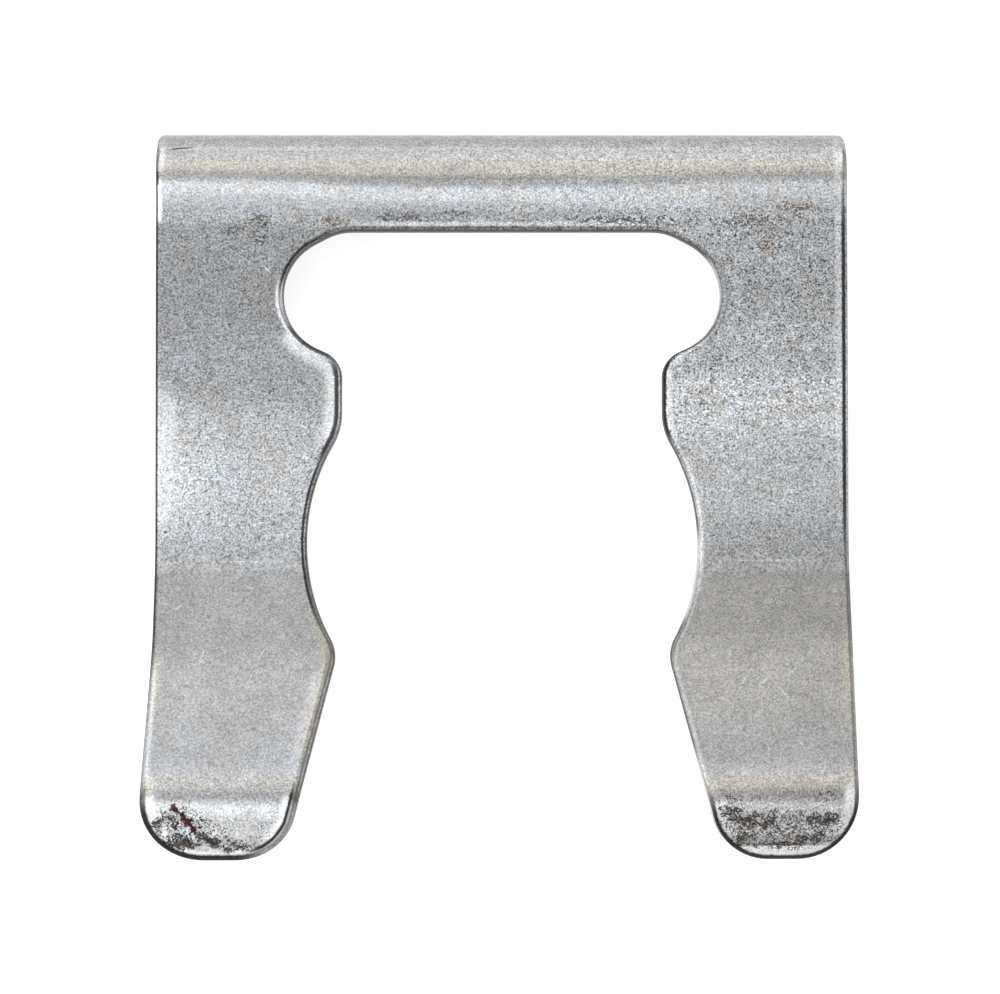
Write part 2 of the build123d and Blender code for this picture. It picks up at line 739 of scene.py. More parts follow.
@dataclass(frozen=True)
class RimStrip:
    """A strip that follows the outline at some distance inside it, in some places."""

    middle: float
    half: float
    soft: float
    strength: float
    places: tuple[Patch, ...]


@dataclass(frozen=True)
class SpringSteel:
    """Tumbled bare spring steel: finely grained, worn at its edges and rusty at its tips, with painted
    highlights and painted shade along its edges and painted reflection tints at its folds and legs.
    """

    grey: float = 0.333
    specular: float = 0.2
    roughness: float = 0.4
    dirt_roughness: float = 0.35
    edge_roughness: float = 0.15
    strip_gloss: float = 0.06
    dirt_cover: float = 0.45
    grain_relief: float = 0.004
    patch_relief: float = 0.012
    cool: Colour = (0.945, 1.0, 1.06, 1.0)
    neutral: Colour = WHITE
    # Warm painted reflection tint on the legs.
    warm_reflection: Colour = (1.02, 1.0, 0.965, 1.0)
    # Tan painted reflection along the folds.
    tan: Colour = (1.06, 1.0, 0.92, 1.0)
    # Cream painted highlight along some edges.
    cream_highlight: Colour = (1.22, 1.16, 1.03, 1.0)
    brown: Colour = (0.9, 0.86, 0.81, 1.0)
    # Bright strips along the edges: partly wear, partly painted highlight.
    worn_and_highlight: Colour = (0.92, 0.94, 0.96, 1.0)
    # Dark lines along the edges: partly painted shade, partly grime.
    shade_and_grime: Colour = (0.021, 0.017, 0.0145, 1.0)
    # The wall's dark colour: partly cut steel, partly painted shade.
    dark_cut_and_shade: Colour = (0.085, 0.08, 0.075, 1.0)
    torn: Colour = (0.19, 0.185, 0.18, 1.0)
    pale: Colour = (0.6, 0.59, 0.57, 1.0)
    dirt: Colour = (0.018, 0.014, 0.012, 1.0)
    silt: Colour = (0.076, 0.058, 0.046, 1.0)
    rust: Colour = (0.04, 0.011, 0.01, 1.0)
    fresh_rust: Colour = (0.095, 0.022, 0.018, 1.0)


@dataclass(frozen=True)
class Grain:
    """How strongly the fine grain shows, from place to place on the sheet."""

    speckle: float = 3.4
    fleck: float = 1.2
    flat: float = 1.12
    less_on_left: float = 0.27
    less_on_right_middle: float = 0.3
    legs: float = 0.48
    less_over_fold: float = 0.38
    more_on_tips: float = 0.2
    less_on_left_tip: float = 0.14


@dataclass(frozen=True)
class Stretches:
    """Where the finish changes softly, each from nothing to in full.

    The left side and the middle are measured across the sheet, and the others along it
    from the seat's centre.
    """

    left: tuple[float, float] = (6.0, -8.0)
    middle: tuple[float, float] = (14.0, 4.0)
    over_fold: tuple[float, float] = (16.2, 17.8)
    before_fold: tuple[float, float] = (19.6, 19.0)
    right_middle: tuple[float, float] = (9.5, 2.0)
    below_neck: tuple[float, float] = (2.6, 0.4)
    above_neck: tuple[float, float] = (6.0, 9.0)
    legs: tuple[float, float] = (0.2, -2.2)
    above_tips: tuple[float, float] = (-11.0, -8.0)
    tips: tuple[float, float] = (-11.0, -12.6)
    right_tip: tuple[float, float] = (-11.5, -12.5)
    left_tip: tuple[float, float] = (-12.4, -13.0)


@dataclass(frozen=True)
class TipDirt:
    """How dirt and rust lie on one tip: caked, in lumps, as a web, as specks and as streaks."""

    cake: tuple[Patch, ...]
    crust: tuple[Patch, ...]
    web: tuple[Patch, ...]
    silt: tuple[Patch, ...]
    rust: tuple[Patch, ...]


@dataclass(frozen=True)
class EdgeMarks:
    """Where bright strips lie along the outline, partly wear and partly painted highlight, and where
    dark lines lie along it, partly painted shade and partly grime.
    """

    # Bright strips along the rolled edges: partly wear, partly painted highlight.
    worn_and_highlight: tuple[RimStrip, ...] = (
        RimStrip(0.16, 0.1, 0.12, 0.8, ovals((-17.6, 17.5, 0.9, 1.3))),
        RimStrip(0.2, 0.15, 0.25, 0.24, ovals((-17.7, 20.0, 0.9, 1.4))),
        RimStrip(0.4, 0.25, 0.9, 0.2, ovals((-17.7, 4.5, 2.4, 4.6))),
        RimStrip(0.1, 0.14, 0.24, 0.24, ovals((-17.7, -9.2, 1.2, 3.8))),
        RimStrip(0.14, 0.12, 0.2, 0.5, ovals((-11.2, 11.2, 1.5, 2.6))),
        RimStrip(0.6, 0.15, 0.4, 0.08, ovals((-9.6, -9.4, 1.8, 3.6))),
        RimStrip(0.42, 0.1, 0.6, 0.36, ovals((-8.8, 8.0, 2.2, 3.6), (-10.2, 9.9, 1.6, 1.3))),
        RimStrip(0.34, 0.05, 0.14, 0.3, ovals((8.6, 7.6, 1.4, 2.8))),
        RimStrip(0.06, 0.1, 0.16, 0.1, ovals((11.2, 12.0, 1.4, 3.4))),
        RimStrip(0.1, 0.12, 0.3, 0.2, ovals((9.8, 1.0, 1.8, 4.8))),
        RimStrip(0.05, 0.06, 0.08, 0.5, ovals((10.0, -2.0, 1.6, 3.0), (10.9, -11.4, 1.6, 3.8))),
        RimStrip(0.02, 0.16, 0.36, 0.14, ovals((10.2, -7.4, 2.4, 6.8))),
        RimStrip(0.44, 0.08, 0.26, 0.24, ovals((17.7, 10.4, 1.6, 9.6), (17.7, 19.4, 1.4, 2.6))),
        RimStrip(0.34, 0.05, 0.1, 0.24, ovals((0.0, 15.9, 9.6, 1.4))),
        RimStrip(0.34, 0.06, 0.1, 0.5, ovals((-14.3, -15.9, 3.4, 1.0))),
        RimStrip(0.34, 0.06, 0.12, 0.6, ovals((14.3, -15.7, 3.4, 1.1))),
        RimStrip(0.45, 0.15, 0.3, 0.55, ovals((-17.4, -13.9, 1.6, 1.7), (11.0, -13.8, 1.1, 1.2))),
        RimStrip(0.45, 0.15, 0.3, 0.6, ovals((-11.2, -13.9, 1.3, 1.7), (17.3, -13.5, 1.4, 1.7))),
    )
    # Dark lines along the rolled edges: partly painted shade, partly grime.
    shade_and_grime: tuple[RimStrip, ...] = (
        RimStrip(0.24, 0.05, 0.09, 0.92, ovals((17.7, 9.0, 1.2, 11.6))),
        RimStrip(0.0, 0.09, 0.1, 0.85, ovals((-17.7, 6.8, 1.4, 17.0))),
        RimStrip(0.26, 0.05, 0.1, 0.9, ovals((-8.0, 6.4, 2.2, 4.0))),
        RimStrip(0.2, 0.03, 0.06, 0.85, ovals((-9.6, 0.4, 1.8, 5.0))),
        RimStrip(0.3, 0.05, 0.12, 0.35, ovals((-9.6, -9.0, 2.4, 5.0))),
        RimStrip(0.38, 0.04, 0.09, 0.96, ovals((-11.2, -14.0, 2.0, 2.7))),
        RimStrip(0.16, 0.1, 0.08, 0.45, ovals((-11.2, -14.0, 2.0, 2.7))),
        RimStrip(0.14, 0.02, 0.05, 0.85, ovals((-9.7, 13.9, 2.4, 2.4))),
        RimStrip(0.06, 0.12, 0.08, 0.75, ovals((-10.1, 10.0, 2.0, 1.5))),
        RimStrip(0.1, 0.05, 0.08, 0.4, ovals((0.0, 15.9, 9.6, 1.0))),
        RimStrip(0.08, 0.1, 0.1, 0.3, ovals((11.2, 12.0, 1.6, 3.6))),
        RimStrip(0.0, 0.13, 0.1, 0.95, ovals((8.2, 7.4, 1.6, 2.8))),
        RimStrip(0.0, 0.23, 0.14, 0.97, ovals((-16.4, -17.0, 6.0, 6.0))),
        RimStrip(0.0, 0.18, 0.12, 0.97, ovals((14.3, -16.8, 10.0, 6.4))),
        RimStrip(0.0, 0.13, 0.1, 0.9, ovals((-17.7, 18.65, 0.6, 0.5))),
    )
    # Where the painted dark outline is lighter.
    clean: tuple[Patch, ...] = ovals(
        (-17.7, -7.9, 1.4, 5.1),
        (17.7, -8.6, 1.2, 3.8),
        (17.7, 8.4, 1.2, 13.0),
        (-9.2, -3.6, 1.6, 2.4),
        (-9.9, 13.6, 2.4, 2.8),
        (-11.2, 12.0, 1.4, 2.6),
        (-11.2, -14.4, 1.4, 2.2),
        (9.8, -6.4, 2.0, 6.0),
        (9.8, 2.0, 1.6, 4.6),
        (11.2, 12.0, 1.6, 4.4),
    )
    torn: tuple[Patch, ...] = ovals(
        (-10.4, -13.0, 2.6, 3.2),
        (-8.4, 5.6, 1.8, 3.0),
        (-9.8, -8.6, 1.8, 4.0),
        (17.7, -6.0, 1.4, 8.0),
    )
    pale: tuple[Patch, ...] = ovals(
        (10.0, -2.0, 1.6, 3.0),
        (10.9, -11.4, 1.6, 3.8),
        (11.2, 12.0, 1.6, 3.6),
    )
    # Where the rolled edge is darkened: painted shade over its highlight.
    shaded_roll: tuple[Patch, ...] = ovals(
        (9.6, -5.4, 2.0, 8.4),
        (11.2, 11.8, 1.6, 3.8),
    )


class SteelPainter:
    """Paints the spring steel over the sheet, from masks that follow it."""

    grains = Grain()
    stretches = Stretches()
    sag = 0.33
    rim_core = 0.6
    line_core = 0.4
    ragged_scale = 3.0
    ragged_reach = 0.5
    cake_scale = 4.0
    cake_reach = 0.12
    web_scale = 3.6
    dirt_scale = 5.0
    soot_scale = 8.0
    soot_stretch = (0.4, 1.0, 1.0)
    wall_stretch = (5.0, 5.0, 0.6)
    lump_cover = 0.95
    silt_cover = 0.72
    soot_cover = 0.55
    hair_cover = 0.17
    scratch_cover = 0.6
    score_cover = 0.85
    # How far the painted shade darkens the rolled edge where it is marked.
    roll_shading = 0.3
    top_tone = 1.1
    # Painted light and shade along the sheet: the bright and dark bands at the flange's fold, at the
    # lead and at the tips, and the lighter and darker stretches over the flat and the legs.
    light_and_shade_steps = (
        LightShadeStep(21.0, 20.6, 0.45, 0.5),
        LightShadeStep(20.38, 20.04, -0.67, -0.64),
        LightShadeStep(19.55, 19.35, 0.05, 0.16),
        LightShadeStep(19.14, 18.9, -0.18, -0.18),
        LightShadeStep(18.75, 18.3, 0.66, 0.55),
        LightShadeStep(18.0, 17.6, -0.35, -0.15),
        LightShadeStep(17.6, 17.1, -0.2, -0.27),
        LightShadeStep(16.72, 16.56, 0.0, -0.18),
        LightShadeStep(16.9, 15.9, -0.245, 0.06),
        LightShadeStep(12.2, 9.0, 0.12, 0.12),
        LightShadeStep(11.5, 11.1, 0.0, 0.1),
        LightShadeStep(10.3, 9.9, 0.0, -0.1),
        LightShadeStep(9.2, 8.0, 0.0, 0.33),
        LightShadeStep(8.2, 5.9, 0.25, 0.0),
        LightShadeStep(6.2, 4.6, 0.0, -0.19),
        LightShadeStep(5.3, 4.3, 0.1, 0.0),
        LightShadeStep(2.0, 0.6, -0.08, -0.22),
        LightShadeStep(0.6, -0.4, -0.2, -0.16),
        LightShadeStep(-1.0, -1.8, -0.16, -0.2),
        LightShadeStep(-4.0, -5.6, 0.0, 0.14),
        LightShadeStep(-4.6, -6.8, 0.12, 0.03),
        LightShadeStep(-10.7, -11.6, 0.15, 0.24),
        LightShadeStep(-12.1, -12.4, -0.15, -0.24),
        LightShadeStep(-12.6, -13.2, 1.06, 0.88),
        LightShadeStep(-13.2, -13.6, 0.0, -0.28),
        LightShadeStep(-13.4, -13.9, -0.2, -0.2),
        LightShadeStep(-13.9, -14.2, 0.0, 0.24),
        LightShadeStep(-14.5, -14.8, -0.34, -0.38),
        LightShadeStep(-15.03, -15.15, 0.36, 1.24),
    )
    # Painted highlights on the left of the flat and on the left tip, painted shade across the middle
    # ahead of the flange's fold, and two darker smudges on the right.
    highlight_shade_and_smudge_spots = (
        ToneSpot(0.22, 0.0, ovals((-17.0, 3.2, 4.4, 5.0))),
        ToneSpot(0.45, 0.0, ovals((-13.5, -13.35, 1.1, 0.5), (-11.8, -13.35, 0.8, 0.4))),
        ToneSpot(-0.19, 0.4, ovals((0.0, 16.8, 10.0, 0.95), (0.0, 18.7, 9.0, 0.22))),
        ToneSpot(-0.1, 0.0, ovals((13.9, 16.1, 2.0, 1.0), (13.1, 12.8, 1.9, 1.6))),
    )
    # Where a cream painted highlight lies along the edges.
    cream_highlight = ovals(
        (17.4, -6.4, 1.0, 4.4),
        (-9.2, -5.6, 1.6, 2.8),
        (-9.9, -8.4, 1.4, 3.4),
        (-17.5, -7.0, 0.9, 2.2),
        (17.2, -12.0, 0.6, 1.0),
        (10.4, -12.2, 0.5, 0.7),
        (-17.2, -12.2, 0.5, 0.8),
        (-10.7, -12.2, 0.4, 0.7),
    )
    left_tip = TipDirt(
        cake=strokes(
            (-15.2, -14.3, -13.5, -15.26, 0.42),
            (-16.4, -14.95, -14.6, -15.0, 0.22),
            (-13.5, -15.06, -12.4, -15.1, 0.2),
        ) + ovals(
            (-16.85, -13.86, 0.42, 0.2, 12.0),
        ),
        crust=strokes(
            (-16.25, -12.95, -15.5, -13.65, 0.4),
            (-15.8, -13.3, -14.7, -14.8, 0.46),
            (-15.1, -14.4, -13.5, -15.28, 0.6),
            (-16.55, -13.25, -15.7, -14.35, 0.36),
            (-16.3, -14.98, -14.5, -15.05, 0.44),
            (-13.8, -15.12, -12.6, -15.16, 0.26),
        ) + ovals(
            (-16.8, -13.87, 0.42, 0.3),
            (-15.7, -14.76, 0.7, 0.36),
        ),
        web=strokes(
            (-15.2, -14.3, -12.2, -15.4, 0.7),
        ) + ovals(
            (-15.7, -14.2, 1.5, 1.2),
        ),
        silt=ovals(
            (-11.9, -13.94, 0.85, 0.2, 8.0),
            (-11.8, -14.3, 0.4, 0.14),
            (-12.1, -14.64, 0.7, 0.18),
            (-13.0, -15.0, 1.2, 0.26),
            (-14.1, -14.2, 1.2, 0.7),
        ),
        rust=strokes(
            (-16.25, -13.0, -15.55, -13.58, 0.26),
            (-15.85, -13.3, -15.2, -14.1, 0.3),
            (-15.42, -13.85, -14.8, -14.68, 0.28),
            (-16.46, -13.38, -16.05, -13.9, 0.2),
            (-16.05, -13.95, -15.8, -14.22, 0.2),
        ),
    )
    right_tip = TipDirt(
        cake=strokes(
            (11.4, -15.05, 16.2, -15.05, 0.24),
        ) + ovals(
            (12.2, -13.8, 0.3, 0.17),
            (12.95, -14.15, 0.2, 0.16),
            (16.1, -13.85, 0.55, 0.17, 6.0),
            (13.66, -15.2, 0.22, 0.2),
        ),
        crust=ovals(
            (11.3, -13.5, 0.8, 0.42, -12.0),
            (12.2, -13.9, 0.75, 0.45),
            (13.2, -14.0, 0.5, 0.45),
            (15.9, -13.75, 1.25, 0.36, 4.0),
            (11.9, -14.7, 0.7, 0.4),
            (15.2, -14.75, 1.1, 0.3),
        ),
        web=ovals((13.8, -14.3, 3.6, 0.98)),
        silt=ovals(
            (13.9, -14.1, 3.8, 1.1),
            (16.0, -12.5, 0.7, 0.5),
            (11.4, -12.9, 0.9, 0.5),
        ),
        rust=ovals(
            (13.97, -14.88, 0.34, 0.14),
        ),
    )
    soot = strokes(
        (9.2, 8.7, 11.9, 8.95, 0.3),
    ) + ovals(
        (-13.6, 16.05, 0.9, 0.34, 20.0),
        (-12.4, 16.5, 1.0, 0.5, -20.0),
        (-12.3, 15.6, 0.6, 0.5),
        (-8.5, 16.35, 1.2, 0.35, -8.0),
        (-5.0, 16.65, 2.0, 0.26),
        (-2.5, 16.8, 1.0, 0.24),
        (6.0, 16.5, 4.4, 0.45),
        (14.9, 17.2, 1.5, 0.5, -12.0),
        (12.6, 16.5, 2.4, 0.6),
        (13.5, 15.1, 0.7, 0.5),
    )
    stained = ovals(
        (15.3, 17.2, 1.6, 0.6),
        (13.5, 15.1, 1.0, 0.9),
        (-12.6, 16.3, 1.0, 0.5),
        (-8.6, 16.5, 0.9, 0.5),
    )
    scored = strokes(
        (-17.3, 20.2, -15.6, 20.38, 0.13),
        (15.62, 17.8, 15.8, 17.5, 0.08),
    ) + ovals(
        (15.3, 18.15, 0.06, 0.06),
        (-9.05, 18.35, 0.06, 0.06),
        (0.4, 18.25, 0.07, 0.06),
        (12.2, 7.53, 0.12, 0.08),
        (12.36, 6.2, 0.1, 0.06),
        (15.74, 14.1, 0.1, 0.14),
        (11.1, 12.42, 0.08, 0.08),
        (-17.15, 0.55, 0.12, 0.09),
    )
    scratched = strokes(
        (-17.2, 20.34, -15.5, 20.52, 0.08),
        (-12.25, 14.3, -11.75, 13.65, 0.07),
        (14.3, 2.72, 15.2, 2.66, 0.09),
        (14.75, 2.7, 14.7, 2.45, 0.08),
    )
    hairlines = strokes(
        (-13.45, 5.25, -13.0, 5.8, 0.14),
        (-13.1, 5.7, -12.68, 6.35, 0.12),
        (12.4, -6.5, 11.7, -7.6, 0.12),
        (14.2, -6.8, 15.0, -6.15, 0.12),
        (13.6, -6.9, 14.3, -7.9, 0.1),
        (12.9, -5.2, 12.5, -6.1, 0.1),
        (14.6, -9.7, 15.2, -10.5, 0.1),
        (13.3, -10.0, 13.2, -11.0, 0.1),
        (-13.2, -2.2, -12.5, -2.3, 0.1),
        (-15.2, -0.93, -11.0, -0.97, 0.12),
        (11.2, -0.93, 16.7, -0.9, 0.12),
        (-16.6, -3.4, -16.2, -3.1, 0.12),
        (-15.3, -6.3, -15.0, -5.2, 0.1),
        (-11.9, -5.2, -12.4, -6.0, 0.1),
        (14.98, -6.2, 15.2, -5.6, 0.12),
        (12.6, -7.4, 13.7, -6.55, 0.12),
        (13.95, -7.3, 14.6, -8.2, 0.1),
        (11.35, -5.9, 11.55, -5.3, 0.12),
        (15.2, -9.0, 15.7, -9.8, 0.1),
        (15.45, -5.1, 15.45, -5.9, 0.1),
        (12.4, -9.63, 13.0, -9.66, 0.1),
        (13.57, -8.9, 13.5, -9.6, 0.1),
    )

    def __init__(self, finish: SpringSteel, folds: Folds) -> None:
        """Reads the places that the masks start from.

        Args:
            finish: The finish's colours.
            folds: The sheet's folds.
        """
        self.finish = finish
        self.folds = folds
        self.edges = EdgeMarks()
        bench = Bench("spring_steel")
        self.bench = bench
        where = Wire(bench, bench.node("ShaderNodeTexCoord").outputs["Object"])
        self.solid = bench.scaled(where, 1 / MILLIMETRE)
        self.place = bench.attribute("place", "Vector")
        self.ragged = bench.drift(self.place, self.ragged_scale, self.ragged_reach)
        split = bench.node("ShaderNodeSeparateXYZ", {}, {0: self.place})
        across, self.along, self.depth = (Wire(bench, output) for output in split.outputs)
        self.rim = bench.attribute("rim", "Fac")
        self.speckle = bench.noise(self.solid, scale=10.5, detail=1.0, roughness=0.6)
        self.fleck = bench.noise(self.solid, scale=3.6, detail=3.0, roughness=0.65)
        self.patchy = bench.noise(self.solid, scale=1.4, detail=2.0, roughness=0.6)
        self.clouds = bench.noise(self.solid, scale=0.55, detail=3.0, roughness=0.6)
        self.left = across.step(*self.stretches.left)
        self.legs = self.stretch(self.stretches.legs)
        middle = abs(across).step(*self.stretches.middle)
        sagging = middle * self.stretch(self.stretches.before_fold)
        self.sagged = self.along + sagging * self.sag
        self.face = self.depth.step(0.7, 0.3)

    def stretch(self, ends: tuple[float, float]) -> Wire:
        """A soft change along the sheet."""
        return self.along.step(*ends)

    def on_legs(self, flat: Operand, legs: float) -> Wire:
        """A strength that changes from one value on the flat to another on the legs."""
        return flat + self.legs * (legs - flat)

    def band(self, centre: float, half: float, soft: float) -> Wire:
        """A band across the sheet, 1 within half of its centre and 0 past the soft edge."""
        return abs(self.sagged - centre).step(half + soft, half)

    def spread(self, patches: tuple[Patch, ...], core: float, place: Wire) -> Wire:
        """Adds the union of some patches.

        Args:
            patches: The patches.
            core: Share of each patch that is full.
            place: Place on the sheet.

        Returns:
            The mask.
        """
        union = patches[0].mask(self.bench, place, core)
        for patch in patches[1:]:
            union = union.at_least(patch.mask(self.bench, place, core))
        return union

    def any_of(self, patches: tuple[Patch, ...], core: float = 0.0) -> Wire:
        """The union of some patches, on the face only."""
        return self.spread(patches, core, self.place) * self.face

    def strips(self, strips: tuple[RimStrip, ...], ragged: Wire) -> Wire:
        """Adds the union of some strips along the outline.

        Args:
            strips: The strips.
            ragged: Distance from the outline, made uneven.

        Returns:
            The mask.
        """
        union = 0.0
        for strip in strips:
            inside = abs(ragged - strip.middle).step(strip.half + strip.soft, strip.half)
            mask = inside * self.any_of(strip.places, self.rim_core) * strip.strength
            union = mask.at_least(union)
        return union

    def tone(self) -> Wire:
        """Works out the steel's grey from the painted light and shade along it, the spots of painted
        highlight, painted shade and smudges, the painted shade on some rolled edges, its clouds and
        its fine grain.

        Returns:
            The grey, which the tint is scaled by.
        """
        left = right = self.top_tone
        # Each step adds painted light and shade along the sheet.
        for change in self.light_and_shade_steps:
            share = self.sagged.step(change.start, change.end)
            left = self.bench.maths("MULTIPLY_ADD", share, change.left, left)
            right = self.bench.maths("MULTIPLY_ADD", share, change.right, right)
        tone = right + self.left * (left - right)
        # Spots of painted highlight, painted shade and smudges.
        for spot in self.highlight_shade_and_smudge_spots:
            tone = tone + self.any_of(spot.places, spot.core) * spot.change
        # Painted shade over the rolled edge's highlight, where it is marked.
        roll = self.rim.step(0.55, 0.3) * self.rim.step(0.08, 0.24)
        shaded_roll = roll * self.any_of(self.edges.shaded_roll, self.rim_core)
        tone = tone * (1.0 - shaded_roll * self.roll_shading)
        clouds = 1.0 + self.clouds.swing() * self.on_legs(0.2, 0.5)
        mottle = 1.0 + self.patchy.swing() * self.on_legs(0.36, 0.14)
        return tone * clouds * mottle * (1.0 + self.grain()) * self.finish.grey

    def grain(self) -> Wire:
        """Works out the fine grain, strong on the flat and weak on the legs and over the fold.

        Returns:
            The change of the grey, round zero.
        """
        grains = self.grains
        stretches = self.stretches
        right_middle = (1.0 - self.left) * self.stretch(stretches.right_middle)
        flat = grains.flat - self.left * grains.less_on_left
        flat = flat - right_middle * grains.less_on_right_middle
        calm = 1.0 - self.stretch(stretches.over_fold) * grains.less_over_fold
        strength = self.on_legs(flat, grains.legs) * calm
        left_tip = self.left * self.stretch(stretches.left_tip)
        strength = strength + self.stretch(stretches.tips) * grains.more_on_tips
        strength = strength - left_tip * grains.less_on_left_tip
        noise = self.speckle.swing() * grains.speckle + self.fleck.swing() * grains.fleck
        return noise * strength

    def steel(self) -> Wire:
        """Works out the bare steel's colour.

        Returns:
            The colour, cool on the flat, with a warm painted reflection on the right leg, a tan
            painted reflection along the folds and a cream painted highlight along some edges.
        """
        bench = self.bench
        finish = self.finish
        fold = self.folds.fold_start
        lead = self.folds.lead.corner_y
        right = 1.0 - self.left
        right_tip = right * self.stretch(self.stretches.right_tip)
        right_half = right * self.stretch(self.stretches.below_neck)
        chill = (self.patchy * 0.4 + self.clouds * 0.6).step(0.38, 0.58)
        chill = chill * (1.0 - self.legs * 0.3 - right_half * 0.4 - right_tip * 0.2)
        tint = bench.blend(chill, finish.neutral, finish.cool)
        tint = bench.blend(self.along.step(fold - 0.8, fold - 0.2), tint, finish.neutral)
        # Warm painted reflection tint on the legs above the tips.
        above_tips = self.legs * self.stretch(self.stretches.above_tips)
        tint = bench.blend(above_tips * (1.0 - self.left * 0.6), tint, finish.warm_reflection)
        # Tan bands at the flange's fold and at the lead: painted reflection.
        fold_line = self.band(fold + 0.25, 0.15, 0.35) * self.patchy.step(0.2, 0.55)
        lead_line = self.band(lead + 0.5, 0.25, 0.5) * (0.9 - self.left * 0.5)
        tint = bench.blend(fold_line.at_least(lead_line), tint, finish.tan)
        # Cream painted highlight along some edges.
        edges = self.rim.step(0.85, 0.4) * self.any_of(self.cream_highlight, 0.2)
        tint = bench.blend(edges * 0.9, tint, finish.cream_highlight)
        tint = bench.blend(self.any_of(self.stained), tint, finish.brown)
        return bench.scaled(tint, self.tone())

    def worn_and_highlight(self) -> Wire:
        """Adds the bright strips along the rolled edges, partly wear and partly painted highlight, and
        the scratches.

        Returns:
            The mask.
        """
        # Bright strips along the rolled edges, partly wear and partly painted highlight.
        uneven_rim = self.rim + self.fleck.swing() * 0.3
        strips = self.strips(self.edges.worn_and_highlight, uneven_rim) * (0.3 + self.speckle * 1.4)
        scratches = self.any_of(self.scratched) * self.scratch_cover
        hairs = self.any_of(self.hairlines, self.line_core) * self.speckle.step(0.2, 0.55)
        return strips.at_least(scratches).at_least(hairs * self.hair_cover)

    def shade_and_grime(self) -> Wire:
        """Adds the dark lines along the rolled edges and the outline, partly painted shade and partly
        grime, and the scores.

        Returns:
            The mask.
        """
        uneven_rim = self.rim + self.fleck.swing() * 0.08
        # A thin dark line right at the outline: painted shade, partly grime.
        outline_darkness = 0.85 - self.any_of(self.edges.clean, self.rim_core) * 0.8
        thin = uneven_rim.step(0.1, 0.03) * outline_darkness
        scores = self.any_of(self.scored, self.line_core) * self.score_cover
        return self.strips(self.edges.shade_and_grime, uneven_rim).at_least(thin).at_least(scores)

    def wall(self) -> Wire:
        """The mask of the punched wall, which starts below the rolled edge."""
        return self.rim.step(0.05, 0.02)

    def wall_colour(self) -> Wire:
        """Works out the wall's colour: dark at both edges, partly the cut steel and partly painted
        shade, with a lighter torn strip between.

        Returns:
            The colour.
        """
        bench = self.bench
        streaks = bench.vector("MULTIPLY", self.place, self.wall_stretch)
        grain = bench.noise(streaks, scale=1.0, detail=3.0, roughness=0.6)
        strip = abs(self.depth - 0.52).step(0.42, 0.32) * (0.4 + grain.step(0.3, 0.7))
        strip = strip * self.spread(self.edges.torn, self.rim_core, self.place)
        # Dark wall, partly painted shade, with the lighter torn strip between.
        colour = bench.blend(strip, self.finish.dark_cut_and_shade, self.finish.torn)
        pale = self.spread(self.edges.pale, self.rim_core, self.place)
        pale = pale * (1.0 - self.stretch(self.stretches.above_neck) * 0.28)
        return bench.blend(pale, colour, self.finish.pale)

    def specks(self, area: Wire, gain: float, noise: Wire, full: float) -> Wire:
        """Specks where noise is low, thicker by a gain towards the middle of their area."""
        return (area * gain - noise).step(-0.38, full) * area.step(0.02, 0.2)

    def web(self, heavy: Wire, thin: Wire) -> Wire:
        """Adds a cracked web of dirt.

        Args:
            heavy: Where the web closes to a crust.
            thin: Where it stays a web.

        Returns:
            The mask.
        """
        bench = self.bench
        edges = {"feature": "DISTANCE_TO_EDGE"}
        cells = bench.node("ShaderNodeTexVoronoi", edges, {0: self.ragged, "Scale": self.web_scale})
        net = Wire(bench, cells.outputs[0]) - heavy * 0.2
        net = net + self.speckle.swing() * 0.24 + self.fleck.swing() * 0.3
        web = net.step(0.14, 0.0) * thin.at_least(heavy).step(0.02, 0.3)
        return web * (0.94 - self.speckle.step(0.5, 0.66) * 0.46)

    def crust(self) -> Wire:
        """Adds the ragged dirt on the tips and the soot ahead of the flange's fold.

        Returns:
            The mask.
        """
        bench = self.bench
        left = self.left_tip
        right = self.right_tip
        heavy = self.spread(left.crust + right.crust, 0.5, self.ragged)
        thin = self.spread(left.web + right.web, 0.7, self.ragged)
        union = self.web(heavy, thin)
        frayed = bench.drift(self.place, self.cake_scale, self.cake_reach)
        cake = self.spread(left.cake + right.cake, 0.0, frayed)
        lumps = (cake + self.speckle.swing() * 3.0).step(0.4, 0.7) * cake.step(0.0, 0.2)
        union = union.at_least(lumps * self.lump_cover)
        silt = self.spread(left.silt + right.silt, 0.3, self.ragged)
        union = union.at_least(self.specks(silt, 0.12, self.speckle, -0.24) * self.silt_cover)
        soot = self.spread(self.soot, 0.3, self.ragged)
        stretched = bench.vector("MULTIPLY", self.solid, self.soot_stretch)
        streaks = bench.noise(stretched, self.soot_scale, roughness=0.6)
        streaks = streaks + self.speckle.swing() * 0.7
        union = union.at_least(self.specks(soot, 0.2, streaks, -0.26) * self.soot_cover)
        return union * self.face

    def red_rust(self) -> Wire:
        """Adds the ragged reddish streaks on the tips.

        Returns:
            The mask.
        """
        rust = self.left_tip.rust + self.right_tip.rust
        streaks = self.spread(rust, self.line_core, self.ragged) * self.face
        return (self.speckle + streaks * 0.4).step(0.66, 0.8) * streaks.step(0.02, 0.2)

    def material(self) -> bpy.types.Material:
        """Puts the finish together.

        Returns:
            The material.
        """
        bench = self.bench
        finish = self.finish
        crust = self.crust()
        rust = self.red_rust()
        worn_and_highlight = self.worn_and_highlight()
        shade_and_grime = self.shade_and_grime()
        wall = self.wall()
        paler = bench.noise(self.solid, self.dirt_scale).step(0.42, 0.62)
        dirt = bench.blend(paler, finish.dirt, finish.silt)
        reds = bench.blend(self.speckle.step(0.4, 0.65), finish.rust, finish.fresh_rust)
